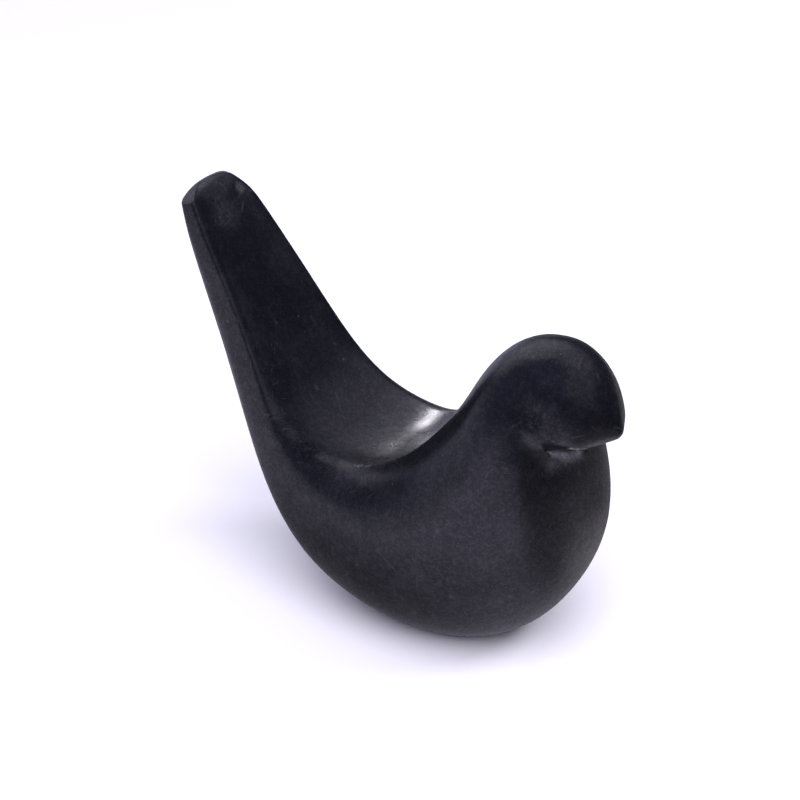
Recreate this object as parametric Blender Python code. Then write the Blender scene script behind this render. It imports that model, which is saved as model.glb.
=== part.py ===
"""Marble bird statue: one honed stone, carved as a bird with an upswept tail. Metres, +Z up.

+X points to the beak and +Y to the bird's left. The origin is on the ground under the widest section, in the
small flat that the bird rests on.
The body is a loft. Its sections stand on the keel line, reach up to the back line and fan round the nape.
"""
import math

import bmesh
import bpy
import numpy as np

# Driving sizes
LENGTH = 0.180             # tail end to beak tip
HEIGHT = 0.136             # ground to the top of the tail
WIDTH = 0.078              # across the flanks
BELLY_CUT = 0.0037         # how much of the round belly is ground off for the flat
SCOOP_DEPTH = 0.0065       # hollow of the back between its two rims, at the deepest
CLEFT_DEPTH = 0.0070       # how far the cleft under the beak runs back into the throat
CORNER_WEAR = 0.0030       # stone lost from the left corner of the tail end

# Tail end, the first three as shares of its own thickness
END_ROLL = 0.32            # how far the top rolls over at the end
END_ROLL_REACH = 0.80      # length of that roll along the tail
END_BOW = 0.18             # how far the end swells along the tail
END_SKEW = 0.09            # how much further along the left side of the end reaches, per distance across

# Stations are numbered from the tail end (0) to the beak tip (17). The cleft is at one of them.
CLEFT_STATION = 13
CLEFT_SPAN = (0.9, 1.3)    # stations over which the cleft opens towards the breast and the beak
CLEFT_RISE = 0.22          # share of the section's height at which the cleft has died out

# Side view: each back point and the keel point under it, as (x, z). x is in hundredths of LENGTH
# from the origin, z in hundredths of the height from the uncut belly.
SIDE_VIEW = (
    ((-58.5, 99.9), (-63.5, 97.1)),     # tail end
    ((-54.2, 92.3), (-60.7, 86.3)),
    ((-46.2, 77.7), (-54.4, 69.2)),
    ((-38.7, 63.4), (-47.3, 49.9)),
    ((-30.9, 52.4), (-39.4, 28.9)),     # root of the tail
    ((-22.2, 48.6), (-28.2, 10.4)),     # saddle
    ((-13.3, 49.5), (-11.7, 1.2)),
    ((-5.6, 55.8), (4.4, 0.0)),         # belly
    ((-0.3, 63.5), (17.2, 7.7)),
    ((4.3, 72.0), (25.7, 22.2)),
    ((7.4, 78.9), (28.9, 37.3)),        # breast, nape
    ((10.8, 84.1), (27.8, 51.4)),
    ((14.0, 87.3), (26.4, 58.0)),
    ((17.7, 89.3), (26.4, 62.0)),       # throat, back of the crown
    ((23.6, 89.9), (29.0, 64.4)),
    ((30.1, 85.4), (32.2, 66.9)),       # forehead
    ((34.0, 76.5), (34.5, 68.7)),
    ((35.3, 72.0), (35.4, 70.3)),       # beak tip
)

# Sections, each as (station, value) pairs with only the stations where the value turns.
# Half the width, in hundredths of WIDTH, and the share of the section's height at which it is widest
HALF_WIDTH = (
    (0, 17.5), (1, 21.5), (2, 26.1), (3, 31.7), (4, 38.7), (5, 44.6), (6, 48.9), (7, 50.0), (8, 48.4),
    (9, 44.2), (10, 38.2), (11, 32.0), (12, 27.7), (13, 25.2), (14, 23.0), (15, 15.6), (16, 6.0), (17, 1.6),
)
WIDEST_AT = (
    (0, 0.42), (1, 0.60), (2, 0.70), (4, 0.65), (6, 0.56), (9, 0.52), (10.5, 0.55), (12, 0.48), (13, 0.37),
    (14, 0.28), (15, 0.23), (16, 0.36), (17, 0.50),
)
# Fullness under and over the widest line: 2 is an ellipse, more is boxier, less has a sharper edge
UNDER_FULLNESS = (
    (0, 1.5), (1, 2.1), (2, 2.6), (4, 2.6), (5, 2.4), (7, 1.98), (8, 1.92), (9, 2.2), (12, 2.1), (14, 1.7),
    (15, 1.6), (16, 1.5), (17, 2.0),
)
OVER_FULLNESS = ((0, 8.0), (2, 8.0), (3, 5.6), (5, 3.2), (7, 2.35), (10, 2.05), (12, 2.0), (17, 2.0))
# Hollow of the back, as a share of SCOOP_DEPTH, how far it reaches, as a share of the half width, and how
# flat its floor is: 1 is a plain wave, more has a flatter floor and steeper walls
SCOOP = ((0, 0.15), (2, 0.45), (4, 0.66), (6, 0.84), (7, 0.72), (8, 0.50), (9, 0.10), (11, 0.0), (17, 0.0))
SCOOP_REACH = ((0, 0.98), (2, 0.98), (4, 0.95), (6, 0.66), (8, 0.48), (10, 0.48), (17, 0.48))
SCOOP_FLOOR = 2.0

# Mesh
END_RINGS = 8              # between the tail end and the next station
BODY_RINGS = 38            # from there to the station before the cleft
CLEFT_RINGS = 14           # over the two stations round the cleft
BEAK_RINGS = 13            # from there to the beak tip
UNDER_POINTS = 12          # from the keel to the widest line
OVER_POINTS = 18           # from the widest line to the middle of the back
CAP_RINGS = (0, 0.28, 0.55, 0.80)  # rings that close the tail end, as shares of its outline
FINE = 160                 # points of a quarter section before they are spaced out
RIM_ANGLE = 50             # degrees from which an edge is shaded sharp


def remove_everything():
    for item in list(bpy.data.objects):
        bpy.data.objects.remove(item, do_unlink=True)


def smooth(knots, at):
    """Value of a natural cubic curve through (station, value) pairs. A value may be a point."""
    station = np.array([knot[0] for knot in knots], float)
    value = np.array([knot[1] for knot in knots], float).reshape(len(knots), -1)
    gap = np.diff(station)
    count = len(station)
    bend = np.eye(count)
    pull = np.zeros_like(value)
    for i in range(1, count - 1):
        bend[i, i - 1:i + 2] = gap[i - 1], 2 * (gap[i - 1] + gap[i]), gap[i]
        pull[i] = 6 * ((value[i + 1] - value[i]) / gap[i] - (value[i] - value[i - 1]) / gap[i - 1])
    curve = np.linalg.solve(bend, pull)
    i = np.clip(np.searchsorted(station, at, side="right") - 1, 0, count - 2)
    b = ((at - station[i]) / gap[i])[:, None]
    a = 1 - b
    step = gap[i][:, None] ** 2 / 6
    return a * value[i] + b * value[i + 1] + ((a ** 3 - a) * curve[i] + (b ** 3 - b) * curve[i + 1]) * step


def station_numbers():
    """Where the rings stand. They crowd towards the tail end, where the top rolls over, and at the cleft."""
    before, after = CLEFT_STATION - 1, CLEFT_STATION + 1
    end = np.linspace(0, 1, END_RINGS, endpoint=False) ** 1.5
    body = np.linspace(1, before, BODY_RINGS, endpoint=False)
    lips = np.linspace(before, after, CLEFT_RINGS, endpoint=False)
    beak = np.linspace(after, len(SIDE_VIEW) - 1, BEAK_RINGS)
    return np.concatenate([end, body, lips, beak])


def space_out(curve, count):
    """Reads count + 1 points from a fine curve, closer together where it turns."""
    step = np.diff(curve, axis=0)
    length = np.hypot(step[:, 0], step[:, 1])
    turn = np.abs(np.gradient(np.unwrap(np.arctan2(step[:, 1], step[:, 0]))))
    cost = np.concatenate([[0], np.cumsum(length / length.sum() + turn / (math.pi / 2))])
    at = np.linspace(0, cost[-1], count + 1)
    return np.stack([np.interp(at, cost, curve[:, 0]), np.interp(at, cost, curve[:, 1])], axis=-1)


def quarter(power):
    """Fine quarter of a superellipse of size 1, from (0, 1) to (1, 0), even along its flats too."""
    flat = np.linspace(0, 0.5 ** (1 / power), FINE // 2, endpoint=False)
    first = np.stack([flat, (1 - flat ** power) ** (1 / power)], axis=-1)
    second = first[::-1, ::-1]
    corner = np.full((1, 2), 0.5 ** (1 / power))
    return np.concatenate([first, corner, second])


def half_section(height, half_width, widest, under, over, scoop, reach):
    """Points (out, up) of one flank, from the keel over the widest line to the middle of the back."""
    arc = quarter(under)
    below = np.stack([half_width * arc[:, 0], height * widest * (1 - arc[:, 1])], axis=-1)
    arc = quarter(over)[::-1]
    above = np.stack([half_width * arc[:, 0], height * (widest + (1 - widest) * arc[:, 1])], axis=-1)
    across = np.minimum(above[:, 0] / (reach * half_width), 1) ** SCOOP_FLOOR
    above[:, 1] -= scoop * 0.5 * (1 + np.cos(math.pi * across))
    return np.concatenate([space_out(below, UNDER_POINTS), space_out(above, OVER_POINTS)[1:]])


def rounding(distance, reach):
    """Drop of a quarter round: 1 at its end, 0 from the reach on."""
    return 1 - np.sqrt(1 - np.clip(1 - distance / reach, 0, 1) ** 2)


def cleft(at):
    """How open the cleft under the beak is at each station, 1 at its bottom. The breast has a round lip."""
    breast = rounding(CLEFT_STATION - at, CLEFT_SPAN[0])
    beak = np.clip(1 - (at - CLEFT_STATION) / CLEFT_SPAN[1], 0, 1)
    return np.where(at < CLEFT_STATION, breast, beak)


def swollen(points, share, half_width, thickness, axis):
    """Swells the tail along its axis, most in the middle, and sets its end askew."""
    across = points[:, 1:2]
    bow = END_BOW * thickness * np.sqrt(np.clip(1 - (across / half_width) ** 2, 0, 1))
    return points + share * (bow + END_SKEW * across) * axis


def worn(points, axis, top, corner):
    """Wears the left corner of the tail end down to a soft plane."""
    normal = 0.50 * axis + 0.55 * np.array([0, 1, 0]) + 0.65 * top
    normal /= np.linalg.norm(normal)
    soft = 0.75 * CORNER_WEAR
    over = (points - corner) @ normal + CORNER_WEAR
    loss = np.where(over > soft, over, np.clip(over + soft, 0, None) ** 2 / (4 * soft))
    return points - loss[:, None] * normal


def bird_rings():
    """All rings from the tail end to the beak, each from the keel up the right flank and down the left."""
    at = station_numbers()
    scale = np.array([LENGTH, HEIGHT + BELLY_CUT]) / 100
    drop = np.array([0, BELLY_CUT])
    back = smooth([(n, pair[0]) for n, pair in enumerate(SIDE_VIEW)], at) * scale - drop
    keel = smooth([(n, pair[1]) for n, pair in enumerate(SIDE_VIEW)], at) * scale - drop
    half_width = smooth(HALF_WIDTH, at)[:, 0] * WIDTH / 100
    widest = smooth(WIDEST_AT, at)[:, 0]
    under = smooth(UNDER_FULLNESS, at)[:, 0]
    over = smooth(OVER_FULLNESS, at)[:, 0]
    scoop = np.clip(smooth(SCOOP, at)[:, 0], 0, None) * SCOOP_DEPTH
    reach = smooth(SCOOP_REACH, at)[:, 0]
    opening = cleft(at)

    thickness = np.linalg.norm(back[0] - keel[0])
    axis = (back[0] - back[END_RINGS]) / np.linalg.norm(back[0] - back[END_RINGS])
    along_tail = np.array([axis[0], 0, axis[1]])
    rings = []
    for i in range(len(at)):
        rise = back[i] - keel[i]
        height = np.linalg.norm(rise)
        rise /= height
        half = half_section(height, half_width[i], widest[i], under[i], over[i], scoop[i], reach[i])
        middle = 1 - (half[:, 0] / half_width[i]) ** 2
        # the top rolls over at the end, most in the middle
        along = np.dot(back[0] - back[i], axis)
        roll = END_ROLL * thickness * rounding(along, END_ROLL_REACH * thickness)
        half[UNDER_POINTS + 1:, 1] -= roll * middle[UNDER_POINTS + 1:]
        line = keel[i] + half[:, 1:] * rise
        flank = np.stack([line[:, 0], -half[:, 0], line[:, 1]], axis=-1)
        # the cleft pushes the throat back, less and less up its sides
        flank[:, 0] -= CLEFT_DEPTH * opening[i] * np.clip(1 - half[:, 1] / (CLEFT_RISE * height), 0, 1)
        rings.append(np.concatenate([flank, flank[-2:0:-1] * (1, -1, 1)]))

    # smaller copies of the end's outline close it, down to a point
    centre = (rings[0][0] + rings[0][UNDER_POINTS + OVER_POINTS]) / 2
    lift = 0.08 * thickness * along_tail
    cap = [centre + (rings[0] - centre) * share + lift * (1 - share ** 2) for share in CAP_RINGS]
    rings = cap + rings
    for i in range(len(rings)):
        at_ring = max(i - len(cap), 0)
        near_end = np.clip(1 - np.dot(back[0] - back[at_ring], axis) / (2 * thickness), 0, 1) ** 2
        rings[i] = swollen(rings[i], near_end, half_width[at_ring], thickness, along_tail)
    top = np.array([axis[1], 0, -axis[0]])
    corner = np.array([back[0, 0], half_width[0], back[0, 1]]) + END_SKEW * half_width[0] * along_tail
    tail = len(CAP_RINGS) + END_RINGS
    rings[:tail] = [worn(ring, along_tail, top, corner) for ring in rings[:tail]]
    last = rings[-1].mean(axis=0) + np.array([0.0003, 0, -0.0001])
    return rings[1:], rings[0][0], last


def loft(rings, first, last):
    """Closed mesh through the rings, with a point at either end."""
    mesh = bmesh.new()
    rows = [[mesh.verts.new(point) for point in ring] for ring in rings]
    count = len(rows[0])
    for near, far in zip(rows, rows[1:]):
        for i in range(count):
            j = (i + 1) % count
            mesh.faces.new((near[i], far[i], far[j], near[j]))
    for point, row, order in ((first, rows[0], 1), (last, rows[-1], -1)):
        tip = mesh.verts.new(point)
        for i in range(count):
            corners = (row[i], row[(i + 1) % count], tip)
            mesh.faces.new(corners[::order])
    return mesh


def grind_flat(mesh):
    """Cuts the belly off at the ground and closes it with one flat face."""
    parts = mesh.verts[:] + mesh.edges[:] + mesh.faces[:]
    bmesh.ops.bisect_plane(mesh, geom=parts, dist=1e-6, plane_no=(0, 0, 1), clear_inner=True)
    rim = [edge for edge in mesh.edges if edge.is_boundary]
    bmesh.ops.contextual_create(mesh, geom=rim)


def shade(mesh):
    """The rounds look smooth. The rims of the tail and of the flat stay sharp."""
    for face in mesh.faces:
        face.smooth = True
    for edge in mesh.edges:
        on_ground = max(vert.co.z for vert in edge.verts) < 1e-6
        edge.smooth = edge.calc_face_angle(0) < math.radians(RIM_ANGLE) and not on_ground


def marble():
    """Black marble, honed to a satin."""
    material = bpy.data.materials.new("black marble")
    material.use_nodes = True
    shader = material.node_tree.nodes["Principled BSDF"]
    shader.inputs["Base Color"].default_value = (0.010, 0.010, 0.014, 1)
    shader.inputs["Roughness"].default_value = 0.4
    shader.inputs["Metallic"].default_value = 0
    material.diffuse_color = (0.03, 0.03, 0.035, 1)
    return material


def bird(collection):
    rings, first, last = bird_rings()
    mesh = loft(rings, first, last)
    grind_flat(mesh)
    bmesh.ops.recalc_face_normals(mesh, faces=mesh.faces[:])
    shade(mesh)
    data = bpy.data.meshes.new("bird")
    mesh.to_mesh(data)
    mesh.free()
    data.materials.append(marble())
    collection.objects.link(bpy.data.objects.new("bird", data))


def main():
    remove_everything()
    collection = bpy.data.collections.new("Marble bird statue")
    bpy.context.scene.collection.children.link(collection)
    bird(collection)


main()
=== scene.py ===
import math

import bmesh
import bpy
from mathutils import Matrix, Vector, noise


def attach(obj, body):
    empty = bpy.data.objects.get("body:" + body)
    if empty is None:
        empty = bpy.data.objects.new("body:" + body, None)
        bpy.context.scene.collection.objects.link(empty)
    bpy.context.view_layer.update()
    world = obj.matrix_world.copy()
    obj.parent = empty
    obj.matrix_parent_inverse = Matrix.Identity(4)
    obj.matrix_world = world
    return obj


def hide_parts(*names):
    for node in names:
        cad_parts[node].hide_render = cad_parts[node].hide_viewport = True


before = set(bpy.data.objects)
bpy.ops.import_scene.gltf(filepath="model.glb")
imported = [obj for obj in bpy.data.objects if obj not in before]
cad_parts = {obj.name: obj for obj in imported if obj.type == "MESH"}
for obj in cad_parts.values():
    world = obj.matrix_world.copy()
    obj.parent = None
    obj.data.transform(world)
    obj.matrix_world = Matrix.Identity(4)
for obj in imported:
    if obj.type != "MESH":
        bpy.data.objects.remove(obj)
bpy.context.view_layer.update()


def wayTo(azimuth, height):  # degrees, azimuth from +X towards +Y
    around, up = math.radians(azimuth), math.radians(height)
    return Vector((math.cos(up) * math.cos(around), math.cos(up) * math.sin(around), math.sin(up)))


# Shader sockets that take Python's operators

class Tap:
    def __init__(self, tree, socket):
        self.tree = tree
        self.socket = socket

    def node(self, kind, settings=(), values=(), out=0):  # settings first, then the sockets
        made = self.tree.nodes.new(kind)
        for name, value in dict(settings).items():
            setattr(made, name, value)
        for slot, value in dict(values).items():
            if isinstance(value, Tap):
                self.tree.links.new(value.socket, made.inputs[slot])
            else:
                made.inputs[slot].default_value = value
        return Tap(self.tree, made.outputs[out])

    def maths(self, operation, *values):
        return self.node("ShaderNodeMath", {"operation": operation}, dict(enumerate(values)))

    def vector(self, operation, *values, out=0):
        return self.node("ShaderNodeVectorMath", {"operation": operation}, dict(enumerate((self,) + values)), out)

    def number(self, operation, *values):  # vector maths that gives one number
        return self.vector(operation, *values, out=1)

    def __add__(self, other):
        return self.maths("ADD", self, other)

    def __radd__(self, other):
        return self.maths("ADD", other, self)

    def __sub__(self, other):
        return self.maths("SUBTRACT", self, other)

    def __rsub__(self, other):
        return self.maths("SUBTRACT", other, self)

    def __mul__(self, other):
        return self.maths("MULTIPLY", self, other)

    def __rmul__(self, other):
        return self.maths("MULTIPLY", other, self)

    def __pow__(self, other):
        return self.maths("POWER", self, other)

    def __abs__(self):
        return self.maths("ABSOLUTE", self)


def spread(value, low, high, toLow=0.0, toHigh=1.0):  # clamped and eased from low..high to the new range
    return value.node(
        "ShaderNodeMapRange", {"interpolation_type": "SMOOTHSTEP"}, {0: value, 1: low, 2: high, 3: toLow, 4: toHigh}
    )


def blendColors(factor, first, second):
    return factor.node("ShaderNodeMix", {"data_type": "RGBA"}, {0: factor, 6: first, 7: second}, 2)


def coordinates(tree, name):
    return Tap(tree, tree.nodes.new("ShaderNodeTexCoord").outputs[name])


def lightPath(tree, name):
    return Tap(tree, tree.nodes.new("ShaderNodeLightPath").outputs[name])


# Black marble

marbleLook = {
    "ground": (0.0007, 0.0007, 0.0021, 1),   # the black between the clouds
    "cloud": (0.0052, 0.0051, 0.0078, 1),    # grey clouding
    "dust": (0.20, 0.20, 0.21, 1),           # pale grains and scuffs
    "bruise": (0.040, 0.040, 0.044, 1),      # crushed stone in chips
    "paintedHighlight": (0.80, 0.79, 0.82, 1),         # painted highlight: the pale wedge under the beak
    "dull": (0.0026, 0.0025, 0.0040, 1),     # open grain that takes no polish
    "dullRoughness": 0.7,
    "dullShine": 0.08,
    "roughness": 0.28,
    "shine": 0.70,
    "openGrain": 0.44,                       # share of open grain where nothing closes it
    "cloudSize": 0.011,
    "veilSize": 0.0363,
    "fineSize": 0.0022,
    "grainSize": 0.0008,
    "reliefStrength": 0.5,
    "reliefDepth": 0.001,
    "hairBend": 0.004,                       # how far the hair scratches wander
    "paintedHighlightFade": 2.6,
    # cell size, grain radius in cells, share of the cells
    "coarseSpecks": (0.0042, 0.11, 0.20),
    "fineSpecks": (0.0015, 0.22, 0.22),
    "softSpots": (0.0085, 0.20, 0.45),
    # cell size, reach, half width, share of the cells
    "longHairs": (0.0065, 0.0028, 0.00018, 0.55),
    "shortHairs": (0.0034, 0.0016, 0.00016, 0.60),
}

hairScratches = (  # from, to, half width
    ((-0.0972, 0.0114, 0.1244), (-0.0918, 0.0121, 0.1170), 0.00022),
    ((-0.0097, -0.0388, 0.0431), (-0.0004, -0.0389, 0.0361), 0.00020),
)
rings = (  # centre, radius, half width, how pale
    ((0.0441, -0.0197, 0.0354), 0.0011, 0.0004, 0.10),
    ((0.0094, -0.0368, 0.0282), 0.0017, 0.0003, 0.06),
    ((0.0207, -0.0365, 0.0390), 0.0015, 0.0003, 0.05),
)
paintedHighlightLines = (  # from, to, reach, how pale; painted highlight under the beak and along its lower edge
    ((0.0464, 0.0010, 0.0824), (0.0452, -0.0050, 0.0836), 0.0070, 0.44),    # on the breast under the beak
    ((0.0456, -0.0030, 0.0824), (0.0447, -0.0130, 0.0830), 0.0070, 0.050),  # fading towards the near side
    ((0.0425, -0.0110, 0.0850), (0.0442, -0.0050, 0.0838), 0.0042, 0.80),   # in the corner behind it
    ((0.0530, -0.0142, 0.0922), (0.0560, -0.0090, 0.0902), 0.0026, 0.30),   # along the beak's lower edge
)
# Two places mirror more of the sheet than the real stone does, as their slope differs a little from it.
# Less polish there makes up for it.
dullLines = (  # from, to
    ((-0.0560, -0.0245, 0.0680), (-0.0470, -0.0255, 0.0625)),   # near rim of the hollow
    ((-0.0470, -0.0255, 0.0625), (-0.0385, -0.0250, 0.0606)),
    ((0.0375, -0.0200, 0.1015), (0.0400, -0.0195, 0.1000)),     # cheek
    ((0.0400, -0.0195, 0.1000), (0.0470, -0.0186, 0.0990)),
)
dullReach = (0.0075, 0.0015)  # outer and inner distance from such a line
dullStrength = 0.28
mottles = (  # centre, radius, how pale
    ((-0.1012, -0.0015, 0.1270), 0.0100, 0.090),
    ((0.0130, -0.0379, 0.0396), 0.0150, 0.020),
    ((-0.0325, -0.0332, 0.0544), 0.0120, 0.030),
)


def blackMarble():
    look = marbleLook
    material = bpy.data.materials.new("honed black marble")
    material.use_nodes = True
    tree = material.node_tree
    shader = tree.nodes["Principled BSDF"]
    place = coordinates(tree, "Object")

    def cloudiness(size, detail=2.0, roughness=0.5, twist=0.0):
        return place.node(
            "ShaderNodeTexNoise", (),
            {"Vector": place, "Scale": 1 / size, "Detail": detail, "Roughness": roughness, "Distortion": twist},
        )

    def cells(vector, size, out):
        return place.node("ShaderNodeTexVoronoi", (), {"Vector": vector, "Scale": 1 / size}, out)

    def grains(size, radius, share):  # round grains of one size in a share of the cells
        off, pick = cells(place, size, 0), cells(place, size, 1)
        return spread(off, radius, radius * 0.4) * spread(pick * 1.0, 1 - share, 1 - share * 0.7)

    def hairlines(size, reach, width, share):  # in each cell the surface meets one thin disc, turned at random
        centre, turn = cells(bent, size, 2), cells(bent, size, 1)
        way = bent.vector("SUBTRACT", centre)
        axis = turn.vector("SUBTRACT", (0.5, 0.5, 0.5)).vector("NORMALIZE")
        off = abs(way.number("DOT_PRODUCT", axis))
        inside = spread(way.number("LENGTH"), reach, reach * 0.6)
        chosen = spread(turn.number("DOT_PRODUCT", (0.6, 0.3, 0.1)), 1 - share, 1 - share * 0.8)
        return spread(off, width, width * 0.3) * inside * chosen

    def fromPoint(centre):
        return place.number("DISTANCE", centre)

    def fromLine(start, end):
        way = Vector(end) - Vector(start)
        fromStart = place.vector("SUBTRACT", start)
        share = fromStart.number("DOT_PRODUCT", tuple(way / way.length_squared))
        share = place.node("ShaderNodeClamp", (), {0: share})
        foot = place.node("ShaderNodeVectorMath", {"operation": "SCALE"}, {0: tuple(way), "Scale": share})
        return fromStart.number("DISTANCE", foot)

    clouds = cloudiness(look["cloudSize"], 4.0, 0.62, twist=0.5)
    veils = cloudiness(look["veilSize"], 2.0, 0.5)
    fine = cloudiness(look["fineSize"], 3.0, 0.65)
    grain = cloudiness(look["grainSize"], 2.0, 0.7)
    wander = place.node("ShaderNodeTexNoise", (), {"Vector": place, "Scale": 70.0}, 1)
    bent = place.vector("ADD", wander.vector("MULTIPLY", (look["hairBend"],) * 3))

    # marks on the stone
    specks = grains(*look["coarseSpecks"]) + grains(*look["fineSpecks"]) * spread(clouds, 0.40, 0.60) * 0.4
    spots = grains(*look["softSpots"]) * spread(fine, 0.35, 0.60)
    lines = hairlines(*look["longHairs"]) + hairlines(*look["shortHairs"]) * 0.8
    lines = lines * spread(veils, 0.38, 0.60)
    for start, end, width in hairScratches:
        lines = lines + spread(fromLine(start, end), width, width * 0.3) * 1.5
    wear = place.node("ShaderNodeAttribute", {"attribute_name": "wear"}, (), 2)
    scuff = spread(wear * (0.4 + 1.2 * cloudiness(0.0007, 3.0, 0.75)), 0.35, 0.95)

    # colour: cloudy black, pale marks, crushed stone, then powder
    tone = spread(clouds * 0.40 + veils * 0.15 + fine * 0.25 + grain * 0.20, 0.41, 0.66)
    color = blendColors(tone, look["ground"], look["cloud"])
    pale = specks * 0.42 + lines * 0.075 + spots * 0.05
    for centre, radius, width, strength in rings:
        off = abs(fromPoint(centre) - radius)
        pale = pale + spread(off, width, width * 0.2) * spread(fine, 0.35, 0.60) * strength
    for centre, radius, strength in mottles:
        near = spread(fromPoint(centre), radius, 0.0)
        pale = pale + near * spread(fine * 0.6 + grain * 0.4, 0.30, 0.70, 0.5, 1.2) * strength
    color = blendColors(pale, color, look["dust"])
    color = blendColors(scuff, color, look["bruise"])
    # painted highlight: pale colour laid under the beak and along its lower edge
    for start, end, reach, strength in paintedHighlightLines:
        paintedHighlight = spread(fromLine(start, end), reach, 0.0) ** look["paintedHighlightFade"]
        paintedHighlight = paintedHighlight * spread(grain, 0.20, 0.70, 0.85, 1.05) * strength
        color = blendColors(paintedHighlight, color, look["paintedHighlight"])
    tree.links.new(color.socket, shader.inputs["Base Color"])

    # polish and relief
    rough = look["roughness"] + (clouds - 0.5) * 0.12 + (fine - 0.5) * 0.10 + lines * 0.10 + scuff * 0.30
    tree.links.new(rough.socket, shader.inputs["Roughness"])
    height = grain * 0.020 + fine * 0.04 - lines * 0.03 + specks * 0.01
    height = height + scuff * cloudiness(0.0009, 3.0, 0.8) * 0.4
    bump = place.node(
        "ShaderNodeBump", (),
        {"Strength": look["reliefStrength"], "Distance": look["reliefDepth"], "Height": height},
    )
    tree.links.new(bump.socket, shader.inputs["Normal"])
    shader.inputs["Specular IOR Level"].default_value = look["shine"]

    # the polished stone mixed with open grain
    dull = place.node("ShaderNodeBsdfPrincipled", (), {
        "Base Color": look["dull"], "Roughness": look["dullRoughness"], "Specular IOR Level": look["dullShine"],
    })
    openGrain = look["openGrain"] - spread(grain, 0.44, 0.76) * 0.50 - spread(fine, 0.44, 0.74) * 0.27
    openGrain = openGrain - spread(clouds, 0.42, 0.68) * 0.13 - spots * 0.18 - lines * 0.26
    for start, end in dullLines:
        openGrain = openGrain + spread(fromLine(start, end), *dullReach) * dullStrength
    openShare = place.node("ShaderNodeClamp", (), {0: openGrain})
    both = place.node("ShaderNodeMixShader", (), {0: openShare, 1: Tap(tree, shader.outputs[0]), 2: dull})
    tree.links.new(both.socket, tree.nodes["Material Output"].inputs["Surface"])
    return material


# The bird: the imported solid's own form, rounded and given its fine relief

birdShape = {
    "mergeDistance": 1e-6,
    "groundHeight": 1e-5,
    "groundCrease": 0.9,
    "ridgeAngle": math.radians(40),
    "ridgeCrease": 0.22,
    "cornerCrease": 0.85,      # the tail's near corner is crisper
    "cornerSide": -0.0095,     # and lies beyond this y
    "levels": 2,
    "reliefFrom": 2e-4,        # the resting flat below this height stays true
    "handWave": 0.00010,       # honing by hand leaves the rounds a little uneven
    "handWaveLength": 0.024,
    "crushLength": 0.0016,
}

wornSpots = (  # centre, radius, depth, how pale
    ((-0.1030, 0.0105, 0.1318), 0.0045, 0.00035, 1.0),    # crushed corner of the tail
)


def roundedStone(node):
    shape = birdShape
    mesh = bmesh.new()
    mesh.from_mesh(node.data)
    bmesh.ops.remove_doubles(mesh, verts=mesh.verts, dist=shape["mergeDistance"])
    low = shape["groundHeight"]
    ground = [face for face in mesh.faces if face.normal.z < -0.999 and face.calc_center_median().z < low]
    bmesh.ops.dissolve_faces(mesh, faces=ground)
    bmesh.ops.join_triangles(
        mesh, faces=[face for face in mesh.faces if len(face.verts) == 3],
        angle_face_threshold=math.radians(60), angle_shape_threshold=math.radians(100),
    )
    crease = mesh.edges.layers.float.new("crease_edge")
    for edge in mesh.edges:
        if max(vert.co.z for vert in edge.verts) < low:
            edge[crease] = shape["groundCrease"]
        elif edge.calc_face_angle(0) > shape["ridgeAngle"]:
            nearCorner = min(vert.co.y for vert in edge.verts) < shape["cornerSide"]
            edge[crease] = shape["cornerCrease" if nearCorner else "ridgeCrease"]
    data = bpy.data.meshes.new("birdCage")
    mesh.to_mesh(data)
    mesh.free()
    cage = bpy.data.objects.new("birdCage", data)
    bpy.context.scene.collection.objects.link(cage)
    rounder = cage.modifiers.new("round", "SUBSURF")
    rounder.levels = shape["levels"]
    rounder.render_levels = shape["levels"]
    bpy.context.view_layer.update()
    finished = bpy.data.meshes.new_from_object(cage.evaluated_get(bpy.context.evaluated_depsgraph_get()))
    bpy.data.objects.remove(cage)
    bpy.data.meshes.remove(data)
    print("stone rounded")
    return finished


def carveRelief(data):
    shape = birdShape
    mesh = bmesh.new()
    mesh.from_mesh(data)
    mesh.normal_update()
    wear = mesh.verts.layers.float.new("wear")
    for vert in mesh.verts:
        if vert.co.z < shape["reliefFrom"]:
            continue
        at = vert.co.copy()
        move = shape["handWave"] * noise.noise(at / shape["handWaveLength"])
        for centre, radius, depth, pale in wornSpots:
            near = 1 - (at - Vector(centre)).length / radius
            if near > 0:
                soft = near * near * (3 - 2 * near)
                move -= depth * soft * (0.6 + 0.8 * noise.noise(at / shape["crushLength"]))
                vert[wear] = max(vert[wear], pale * soft)
        vert.co += vert.normal * move
    mesh.normal_update()
    for face in mesh.faces:
        face.smooth = True
    mesh.to_mesh(data)
    mesh.free()
    print("relief carved")


def makeBird():
    data = roundedStone(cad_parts["bird"])
    carveRelief(data)
    data.name = "stoneBird"
    data.materials.clear()
    data.materials.append(blackMarble())
    bird = bpy.data.objects.new("stoneBird", data)
    bpy.context.scene.collection.objects.link(bird)
    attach(bird, "root")
    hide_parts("bird")
    print("bird:", len(data.polygons), "faces")


# Pale sheet under the bird

sheetLook = {
    "radius": 1.6,
    "drop": 0.0002,
    "paper": (0.93, 0.93, 0.945, 1),
    # what the stone mirrors of the sheet, set by measured patches
    "front": (0.90, 0.87, 1.17, 1),
    "left": (0.60, 0.58, 0.74, 1),
    "shade": (0.24, 0.23, 0.28, 1),   # the bird's own shade, to its left
    "right": (0.31, 0.30, 0.34, 1),
    "glow": (0.64, 0.62, 0.68, 1),    # light that passes the breast
    "far": (0.05, 0.05, 0.06, 1),     # far off to the right
    # azimuth, and how far along it a tone sets in and is full
    "toLeft": (156, -0.02, 0.10),
    "toRight": (45, -0.02, 0.075),
    "toFar": (5, 0.32, 0.50),
    # centre, outer and inner reach
    "shadePlace": ((-0.045, -0.015, 0.0), 0.15, 0.03),
    "glowPlace": ((0.090, 0.055, 0.0), 0.062, 0.02),
}


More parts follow.
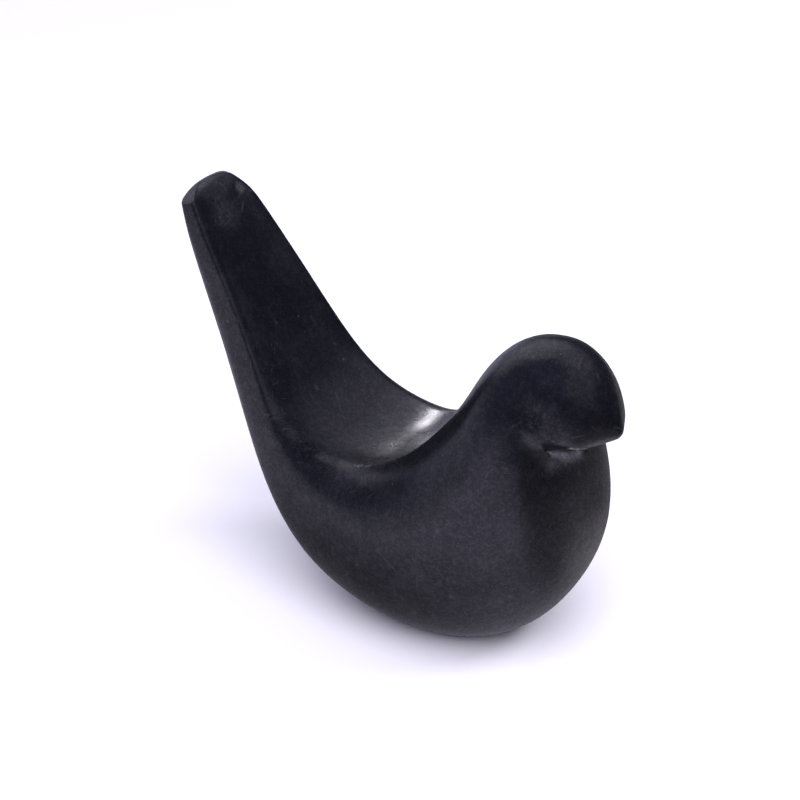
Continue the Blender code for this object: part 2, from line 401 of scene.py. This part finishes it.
def makeSheet():
    look = sheetLook
    mesh = bmesh.new()
    bmesh.ops.create_circle(mesh, cap_ends=True, segments=96, radius=look["radius"])
    bmesh.ops.translate(mesh, verts=mesh.verts, vec=(0, 0, -look["drop"]))
    data = bpy.data.meshes.new("paleSheet")
    mesh.to_mesh(data)
    mesh.free()
    sheet = bpy.data.objects.new("paleSheet", data)
    bpy.context.scene.collection.objects.link(sheet)
    paper = bpy.data.materials.new("pale paper")
    paper.use_nodes = True
    paper.cycles.emission_sampling = "NONE"
    tree = paper.node_tree
    tree.nodes.remove(tree.nodes["Principled BSDF"])
    place = coordinates(tree, "Object")

    def along(azimuth, low, high):
        return spread(place.number("DOT_PRODUCT", tuple(wayTo(azimuth, 0))), low, high)

    def near(centre, out, inside):
        return spread(place.number("DISTANCE", centre), out, inside)

    # painted reflection: glossy rays see the sheet glow in these tones, with painted shade to the bird's left and a
    # painted glow past the breast; other rays see plain paper
    mirrored = blendColors(along(*look["toLeft"]), look["front"], look["left"])
    mirrored = blendColors(near(*look["shadePlace"]), mirrored, look["shade"])
    rightTone = blendColors(near(*look["glowPlace"]), look["right"], look["glow"])
    mirrored = blendColors(along(*look["toRight"]), mirrored, rightTone)
    mirrored = blendColors(along(*look["toFar"]), mirrored, look["far"])
    matte = place.node("ShaderNodeBsdfDiffuse", (), {"Color": look["paper"]})
    paintedReflection = place.node("ShaderNodeEmission", (), {"Color": mirrored})
    both = place.node("ShaderNodeMixShader", (), {0: lightPath(tree, "Is Glossy Ray"), 1: matte, 2: paintedReflection})
    tree.links.new(both.socket, tree.nodes["Material Output"].inputs["Surface"])
    data.materials.append(paper)
    print("pale sheet done")


# Soft studio light

lampLook = {  # azimuth and height in degrees, distance, width, radiance
    "key": (36, 46, 1.5, 0.60, 8.5),
    "fill": (-60, 60, 1.5, 1.65, 3.75),
}
lightTint = (1.0, 0.965, 1.07)
beamLook = {  # a narrow beam from low behind, aimed to give the saddle its glare
    "target": (-0.0255, 0.0170, 0.0602), "azimuth": 144, "height": 26,
    "distance": 0.25, "radius": 0.031, "radiance": 24.0, "cone": 15, "softness": 0.6,
}


def hangLamp(light, target, azimuth, height, distance):
    light.color = lightTint
    lamp = bpy.data.objects.new(light.name, light)
    side = wayTo(azimuth, height)
    lamp.location = Vector(target) + side * distance
    lamp.rotation_euler = side.to_track_quat("Z", "Y").to_euler()
    lamp.visible_camera = False
    bpy.context.scene.collection.objects.link(lamp)
    return lamp


def makeLamps():
    for name, (azimuth, height, distance, width, radiance) in lampLook.items():
        light = bpy.data.lights.new(name, "AREA")
        light.shape = "DISK"
        light.size = width
        light.energy = radiance * math.pi * math.pi * width * width / 4
        lamp = hangLamp(light, (0, 0, 0), azimuth, height, distance)
        lamp.visible_glossy = False
    look = beamLook
    beam = bpy.data.lights.new("beam", "SPOT")
    beam.shadow_soft_size = look["radius"]
    beam.energy = look["radiance"] * (2 * math.pi * look["radius"]) ** 2
    beam.spot_size = math.radians(look["cone"])
    beam.spot_blend = look["softness"]
    beam.use_shadow = False
    lamp = hangLamp(beam, look["target"], look["azimuth"], look["height"], look["distance"])
    lamp.visible_diffuse = False
    print("lamps done")


# The room around

roomLook = {
    "low": (0.085, 0.085, 0.12, 1),         # low walls behind and to the right
    "overhead": (0.68, 0.66, 0.88, 1),      # the bright ceiling on that side
    "dim": (0.185, 0.18, 0.32, 1),          # the camera's side
    "glow": (0.50, 0.49, 0.62, 1),          # lit wall in front of the head
    "window": (1.05, 1.03, 1.20, 1),        # pale window behind on the left
    "sheetEdge": (0.52, 0.51, 0.76, 1),     # the pale sheet curves up in front and on the left
    "backdrop": (0.95, 0.95, 0.97, 1),
    # the rise, as the sine of a direction's height, where a tone sets in and is full
    "overheadRise": (0.25, 0.95),
    "dimRise": (0.08, 0.45),
    "edgeRise": (0.0, 0.30),
    # azimuth, and how much a direction has to face it
    "toBehind": (80, -0.25, 0.22),
    "toEdge": (-147, 0.08, 0.40),
}
softFields = (  # azimuth, height, outer and inner half angle in degrees, tone
    (-22, 44, 37, 14, "glow"),
    (156, 41, 41, 8, "window"),
)


def makeRoom():
    look = roomLook
    world = bpy.data.worlds.new("studio")
    world.use_nodes = True
    bpy.context.scene.world = world
    tree = world.node_tree
    toward = coordinates(tree, "Generated")
    rise = toward.node("ShaderNodeSeparateXYZ", (), {0: toward}, 2)

    def facing(azimuth, low, high, height=0):
        return spread(toward.number("DOT_PRODUCT", tuple(wayTo(azimuth, height))), low, high)

    behind = blendColors(spread(rise, *look["overheadRise"]), look["low"], look["overhead"])
    front = blendColors(spread(rise, *look["dimRise"]), look["low"], look["dim"])
    walls = blendColors(facing(*look["toBehind"]), front, behind)
    for azimuth, height, outer, inner, tone in softFields:
        reach = facing(azimuth, math.cos(math.radians(outer)), math.cos(math.radians(inner)), height)
        walls = blendColors(reach, walls, look[tone])
    edge = spread(rise, *look["edgeRise"], 1.0, 0.0) * facing(*look["toEdge"])
    walls = blendColors(edge, walls, look["sheetEdge"])
    room = toward.node("ShaderNodeBackground", (), {"Color": walls})
    backdrop = toward.node("ShaderNodeBackground", (), {"Color": look["backdrop"]})
    both = toward.node("ShaderNodeMixShader", (), {0: lightPath(tree, "Is Camera Ray"), 1: room, 2: backdrop})
    tree.links.new(both.socket, tree.nodes["World Output"].inputs["Surface"])
    bpy.context.scene.view_settings.view_transform = "Standard"
    print("room done")


# The camera at the photograph's view

cameraView = {
    "place": (0.5883, -0.8559, 0.7096),
    "tilt": 59,
    "turn": 35.7,
    "lens": 159.75,
    "sensorWidth": 36,
    "nearest": 0.01,
}


def makeCamera():
    view = cameraView
    eye = bpy.data.cameras.new("photo view")
    eye.sensor_width = view["sensorWidth"]
    eye.lens = view["lens"]
    eye.clip_start = view["nearest"]
    camera = bpy.data.objects.new("photo view", eye)
    camera.location = view["place"]
    camera.rotation_euler = (math.radians(view["tilt"]), 0, math.radians(view["turn"]))
    bpy.context.scene.collection.objects.link(camera)
    bpy.context.scene.camera = camera
    print("camera done")


makeBird()
makeSheet()
makeLamps()
makeRoom()
makeCamera()
